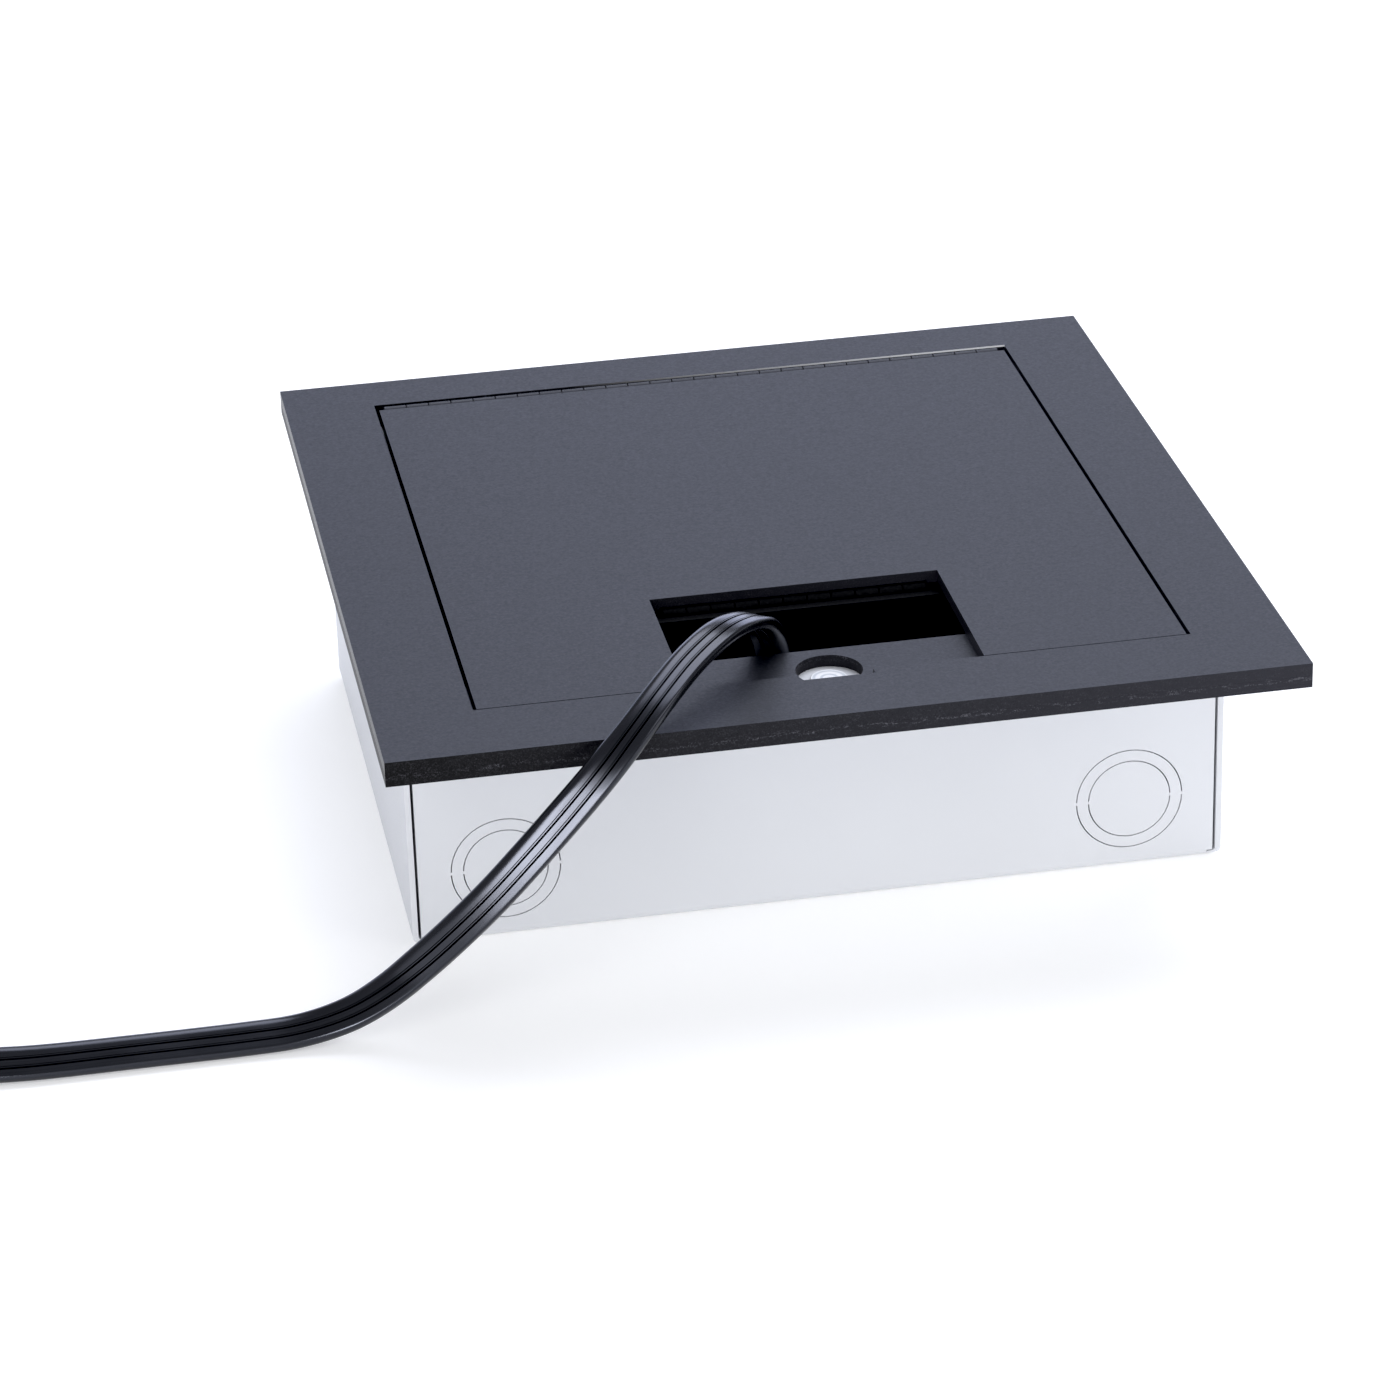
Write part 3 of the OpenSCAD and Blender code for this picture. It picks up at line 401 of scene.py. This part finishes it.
# flat three-core lead: the rows of the CAD cord, each a point in metres and the direction across the flat
cordLead = {
    "size": 0.0096, "width": 0.0094, "thick": 0.0036, "flat": (-0.0022, 0.0038), "webs": (-0.0006, 0.0018),
    "perRow": 6, "perTurn": 60, "endSteps": 36, "tailSteps": 4,
    "sideSteps": 10, "topSteps": 15, "cutSteps": 5,
    "cuts": ((0, 0.0009, 0.00026), (-0.0006, 0.0002, 0.00012)),   # place from the web, depth, half width
    "route": [
        ((-0.022, 0.01, 0.027), (1, 0, 0)), ((-0.022, 0.005, 0.027), (1, 0, 0)),
        ((-0.022, 0, 0.027), (1, 0, 0)), ((-0.0215, -0.01, 0.024), (1, 0, 0)),
        ((-0.0205, -0.02, 0.018), (1, 0, 0)), ((-0.019, -0.03, 0.012), (1, 0, 0)),
        ((-0.017, -0.04, 0.0085), (1, 0, 0)), ((-0.015, -0.05, 0.008), (1, 0, 0)),
        ((-0.0125, -0.059, 0.0115), (1, 0, 0)), ((-0.011, -0.0655, 0.02), (1, 0, 0)),
        ((-0.0105, -0.068, 0.032), (1, 0, 0)), ((-0.0105, -0.0685, 0.045), (1, 0, 0)),
        ((-0.0105, -0.0685, 0.058), (1, 0, 0)), ((-0.0105, -0.0685, 0.069), (1, -0.15, 0)),
        ((-0.0125, -0.0715, 0.0775), (0.95, -0.35, 0)), ((-0.0165, -0.078, 0.0845), (0.85, -0.5, -0.05)),
        ((-0.0225, -0.086, 0.0885), (0.8, -0.6, -0.1)), ((-0.0295, -0.0945, 0.09), (0.8, -0.6, -0.15)),
        ((-0.0385, -0.1045, 0.0885), (0.75, -0.65, -0.15)), ((-0.047, -0.114, 0.085), (0.75, -0.65, -0.15)),
        ((-0.056, -0.122, 0.079), (0.7, -0.7, -0.25)), ((-0.065, -0.127, 0.0715), (0.65, -0.6, -0.45)),
        ((-0.0745, -0.1295, 0.0625), (0.65, -0.5, -0.55)), ((-0.084, -0.13, 0.0525), (0.65, -0.5, -0.6)),
        ((-0.093, -0.129, 0.0425), (0.6, -0.5, -0.65)), ((-0.102, -0.1265, 0.0325), (0.55, -0.5, -0.65)),
        ((-0.1105, -0.123, 0.023), (0.5, -0.55, -0.65)), ((-0.1195, -0.1195, 0.014), (0.3, -0.7, -0.65)),
        ((-0.129, -0.117, 0.0075), (0.15, -0.8, -0.55)), ((-0.141, -0.116, 0.004), (0, -0.85, -0.5)),
        ((-0.155, -0.116, 0.0034), (0, -0.85, -0.5)), ((-0.181, -0.116, 0.0034), (0, -0.85, -0.5)),
        ((-0.206, -0.116, 0.0036), (0, -0.8, -0.55)), ((-0.222, -0.115, 0.0041), (0, -0.75, -0.65)),
        ((-0.238, -0.114, 0.0048), (0, -0.6, -0.8)), ((-0.254, -0.113, 0.0055), (0, -0.35, -0.95)),
        ((-0.266, -0.113, 0.0058), (0, -0.1, -1)), ((-0.273, -0.113, 0.0058), (0, 0, -1)),
        ((-0.28, -0.113, 0.0058), (0, 0, -1)),
    ],
    "coilRadius": 0.0665, "coilPitch": 0.0042, "coilTurns": 3.25, "endRadius": 0.024,
}


def smoothRoute(rows, steps):
    # Catmull-Rom curve through the rows, worked out for every step at once
    p = np.concatenate([rows[:1], rows, rows[-1:]])
    t = (np.arange(steps) / steps)[None, :, None]
    a, b, c, d = (p[k:len(rows) - 1 + k, None, :] for k in range(4))
    fine = 0.5 * (2 * b + (c - a) * t + (2 * a - 5 * b + 4 * c - d) * t**2 + (3 * b - a - 3 * c + d) * t**3)
    return np.concatenate([fine.reshape(-1, rows.shape[1]), rows[-1:]])


def coilRoute(spec, start):
    # the cord winds inwards at a steady rate on its edge, then bends round to the connector
    r0, pitch, turns, rEnd = spec["coilRadius"], spec["coilPitch"], spec["coilTurns"], spec["endRadius"]
    cx, cy = start[0] - spec["size"], start[1] + r0
    a = np.linspace(0, 360 * turns, int(spec["perTurn"] * turns) + 1)
    r, ang = r0 - pitch * a / 360, np.radians(-90 - a)
    spiral = np.stack([cx + r * np.cos(ang), cy + r * np.sin(ang)], 1)
    rIn, aIn = r0 - pitch * turns, math.radians(-90 - 360 * turns)
    sweep = math.acos(-rEnd / (rIn - rEnd))
    ex, ey = cx + (rIn - rEnd) * math.cos(aIn), cy + (rIn - rEnd) * math.sin(aIn)
    b = aIn - sweep * np.arange(1, spec["endSteps"] + 1) / spec["endSteps"]
    bend = np.stack([ex + rEnd * np.cos(b), ey + rEnd * np.sin(b)], 1)
    heading = np.array([math.sin(b[-1]), -math.cos(b[-1])])
    tail = bend[-1] + heading * spec["size"] * np.linspace(0, 1, spec["tailSteps"] + 1)[1:, None]
    run = np.concatenate([spiral, bend, tail])
    return np.column_stack([run, np.full(len(run), start[2])])


def flatOutline(spec):
    # half height over x: flat on top and elliptic down to each side, longer on the left, less a deep V cut
    # with a fine one beside it at each web; the underside is the same turned half round
    half, r, (left, right) = spec["width"] / 2, spec["thick"] / 2, spec["flat"]
    turn = np.sin(np.linspace(0, math.pi / 2, spec["sideSteps"]))
    cuts = np.array([[web + at, deep, wide] for web in spec["webs"] for at, deep, wide in spec["cuts"]])
    at, deep, wide = cuts.T[:, :, None]
    x = np.concatenate([left - (half + left) * turn, right + (half - right) * turn,
                        np.linspace(left, right, spec["topSteps"]),
                        (at + wide * np.linspace(-1, 1, spec["cutSteps"])).ravel()])
    x = np.unique(np.round(x, 6))
    fall = np.clip((left - x) / (half + left), 0, 1) + np.clip((x - right) / (half - right), 0, 1)
    tall = r * np.sqrt(1 - fall**2) - (deep * np.clip(1 - np.abs(x - at) / wide, 0, None)).sum(0)
    top = np.stack([x, np.clip(tall, 0, None)], 1)[:-1]
    return np.concatenate([top, -top])


def makeCord(spec):
    # the outline is carried along the route, its width turned with the rows' directions
    rows = np.array([[*p, *w] for p, w in spec["route"]])
    lead = smoothRoute(rows, spec["perRow"])
    coil = coilRoute(spec, lead[-1, :3])
    path = np.concatenate([lead[:, :3], coil])
    across = np.concatenate([lead[:, 3:], np.tile([0, 0, -1.0], (len(coil), 1))])
    tangent = np.gradient(path, axis=0)
    tangent /= np.linalg.norm(tangent, axis=1)[:, None]
    normal = np.cross(tangent, across)
    normal /= np.linalg.norm(normal, axis=1)[:, None]
    wide = np.cross(normal, tangent)
    outline = flatOutline(spec)
    grid = path[:, None] + outline[None, :, :1] * wide[:, None] + outline[None, :, 1:] * normal[:, None]
    run = np.concatenate([[0], np.linalg.norm(np.diff(path, axis=0), axis=1).cumsum()])
    girth = np.concatenate([[0], np.linalg.norm(np.diff(outline, axis=0), axis=1).cumsum()])
    uv = np.stack(np.broadcast_arrays(run[:, None], girth[None, :]), -1)
    piece = gridPiece("powerCord", grid, caps=True, uv=uv)
    piece.data.materials.append(coats["cord"])
    return piece, path, run[-1]


powerCord, cordPath, cordLength = makeCord(cordLead)
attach(powerCord, "frame")
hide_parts("cord_lead", "cord_coil")
print("cord laid: %.3f m" % cordLength)


# bevel of the soft copies; a face is a side where its normal's share along the flat axis is under steep
softEdge = {"segments": 2, "angle": math.radians(35), "merge": 2e-6, "steep": 0.7}


def softCopy(name, coat, width, sideCoat, flatAxis):
    # a merged copy of the node with a small bevel on its sharp edges
    mesh = nodes[name].data.copy()
    mesh.name = name + "Soft"
    bm = bmesh.new()
    bm.from_mesh(mesh)
    bmesh.ops.remove_doubles(bm, verts=bm.verts, dist=softEdge["merge"])
    bm.to_mesh(mesh)
    bm.free()
    if mesh.attributes.get("custom_normal"):
        mesh.attributes.remove(mesh.attributes["custom_normal"])
    mesh.materials.clear()
    mesh.materials.append(coats[coat])
    side = np.zeros(len(mesh.polygons), np.int32)
    if sideCoat:
        mesh.materials.append(coats[sideCoat])
        normals = np.zeros(len(mesh.polygons) * 3, np.float32)
        mesh.polygons.foreach_get("normal", normals)
        side = (np.abs(normals.reshape(-1, 3)[:, flatAxis]) < softEdge["steep"]).astype(np.int32)
        mesh.materials.append(coats["plateRim"])
    mesh.polygons.foreach_set("material_index", side)
    mesh.shade_smooth()
    mesh.set_sharp_from_angle(angle=softEdge["angle"])
    piece = bpy.data.objects.new(name + "Soft", mesh)
    scene.collection.objects.link(piece)
    edge = piece.modifiers.new("softEdge", "BEVEL")
    edge.width, edge.segments, edge.limit_method = width, softEdge["segments"], "ANGLE"
    edge.angle_limit, edge.harden_normals, edge.miter_outer = softEdge["angle"], True, "MITER_ARC"
    edge.material = 2 if sideCoat else -1   # plateRim, or the coat beside the edge
    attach(piece, nodes[name]["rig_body"])
    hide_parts(name)
    return piece


def coatNode(name, coat):
    nodes[name].data.materials.clear()
    nodes[name].data.materials.append(coats[coat])


softened = {   # node: coat, bevel width, coat of the cut edges, axis square to its faces
    "bezel_plate": ("plateFace", 0.00025, "plateEdge", 2),
    "lid_plate": ("plateFace", 0.00025, "plateEdge", 2),
    # painted shade: the flap takes the darker notch coat
    "ledge_plate": ("plateFace", 0.0002, "plateEdge", 2), "flap_plate": ("notchShade", 0.00025, "notchShade", 1),
    "box_shell": ("box", 0.00012, None, 2), "device_panel": ("panel", 0.00015, None, 2),
    "outlet_right": ("outlet", 0.0004, None, 1), "outlet_left": ("outlet", 0.0004, None, 1),
    "blank_plate": ("outlet", 0.0002, None, 1), "plug_body": ("moulded", 0.0006, None, 1),
    "cord_connector": ("moulded", 0.0005, None, 1), "cord_tie": ("tie", 0.00015, None, 1),
}
for name, (coat, width, sideCoat, axis) in softened.items():
    softCopy(name, coat, width, sideCoat, axis)

plain = {   # coat: nodes that keep their CAD shape
    "hinge": ["frame_leaf", "lid_leaf", "frame_leaf_rivets", "lid_leaf_rivets", "plate_screws",
              "lid_hinge_pin"],
    # painted shade: the flap's hinge takes the darker notch coat
    "notchShade": ["notch_leaf", "flap_leaf", "notch_leaf_rivets", "flap_leaf_rivets", "flap_hinge_pin"],
    "disc": ["catch_disc"],
    "steel": ["flange_screws", "panel_screws", "blank_screws"],
    "green": ["ground_screw"], "brass": ["plug_blades"],
}
for coat, names in plain.items():
    for name in names:
        coatNode(name, coat)


studio = {
    "floorSize": 9.0, "floorDrop": 0.0002, "floorTone": (0.87, 0.87, 0.87), "floorGlow": 0.295,
    "backPlace": (-3.0, 2.2, 0.0), "backWidth": 6.0, "backHeight": 1.03, "backTone": (0.45, 0.48, 0.58),
    "backHue": (0.86, 0.91, 1.18), "backGlow": 1.2, "backSlope": 0.27,
    "sky": (0.93, 0.955, 1.03), "skyStrength": 0.36, "blackPoint": 0.006,
}
white = (1, 1, 1)
lamps = {   # place, aim, width and height, watts, tone
    "keyLight": ((1.5, -1.0, 1.1), (0, 0, 0.05), (1.2, 1.2), 11, white),
    "topLight": ((0.42, 0.78, 1.75), (0, 0, 0.05), (1.5, 1.5), 30, (0.95, 0.98, 1.08)),
    "cordLight": ((-0.70, -1.11, 0.56), (-0.08, -0.13, 0.055), (0.36, 1.15), 7, white),
    "cordSheen": ((-0.80, -1.08, 0.42), (-0.08, -0.13, 0.055), (0.55, 1.0), 25, white),
    "frontFill": ((-0.1, -2.6, 0.6), (0, -0.1, 0.03), (2.6, 1.2), 8, white),
}
litAlone = {"cordSheen": [powerCord]}   # lamps flagged off everything but these pieces


def makeSheet(name, corner, u, v, tone, glow, hue=white, slope=0.0):
    # flat stage sheet from a corner along two sides; its glow grows by the share slope per metre of x
    k = np.linspace(0, 1, 5)
    grid = np.array(corner) + k[:, None, None] * np.array(u) + k[None, :, None] * np.array(v)
    sheet = gridPiece(name, grid, wrap=False, flip=True)
    c = Coat(name + "Paper", Roughness=0.9, Specular_IOR_Level=0.1, Emission_Strength=glow)
    c.shader.inputs["Base Color"].default_value = (*tone, 1)
    c.shader.inputs["Emission Color"].default_value = (*hue, 1)
    if slope:
        reach = 2.0
        ends = glow * (1 - reach * slope), glow * (1 + reach * slope)
        c.link(c.spread(c.parts()[0], *ends, -reach, reach), c.shader.inputs["Emission Strength"])
    sheet.data.materials.append(c.mat)


def softLight(name, place, aim, size, power, tone):
    # rectangular lamp turned to its aim, one side level
    data = bpy.data.lights.new(name, "AREA")
    data.shape, data.size, data.size_y = "RECTANGLE", size[0], size[1]
    data.energy, data.color = power, tone
    lamp = bpy.data.objects.new(name, data)
    scene.collection.objects.link(lamp)
    back = np.array(place, float) - np.array(aim, float)
    back /= np.linalg.norm(back)
    side = np.cross([0, 0, 1], back)
    side /= np.linalg.norm(side)
    axes = np.eye(4)
    axes[:3, 0], axes[:3, 1], axes[:3, 2], axes[:3, 3] = side, np.cross(back, side), back, place
    lamp.matrix_world = Matrix(axes.tolist())
    if name in litAlone:
        lit = bpy.data.collections.new(name + "Lit")
        for piece in litAlone[name]:
            lit.objects.link(piece)
        lamp.light_linking.receiver_collection = lit


floorSide = studio["floorSize"]
makeSheet("studioFloor", (-floorSide / 2, -floorSide / 2, -studio["floorDrop"]), (floorSide, 0, 0),
          (0, floorSide, 0), studio["floorTone"], studio["floorGlow"])
makeSheet("backdrop", studio["backPlace"], (studio["backWidth"], 0, 0), (0, 0, studio["backHeight"]),
          studio["backTone"], studio["backGlow"], studio["backHue"], studio["backSlope"])
for name, settings in lamps.items():
    softLight(name, *settings)
world = bpy.data.worlds.new("studioWorld")
scene.world = world
world.use_nodes = True
sky = world.node_tree.nodes["Background"].inputs
sky["Color"].default_value = (*studio["sky"], 1)
sky["Strength"].default_value = studio["skyStrength"]
scene.view_settings.view_transform = "Standard"
scene.view_settings.look = "None"
scene.view_settings.use_curve_mapping = True   # black point of the print
scene.view_settings.curve_mapping.black_level = [studio["blackPoint"]] * 3
print("studio lit")
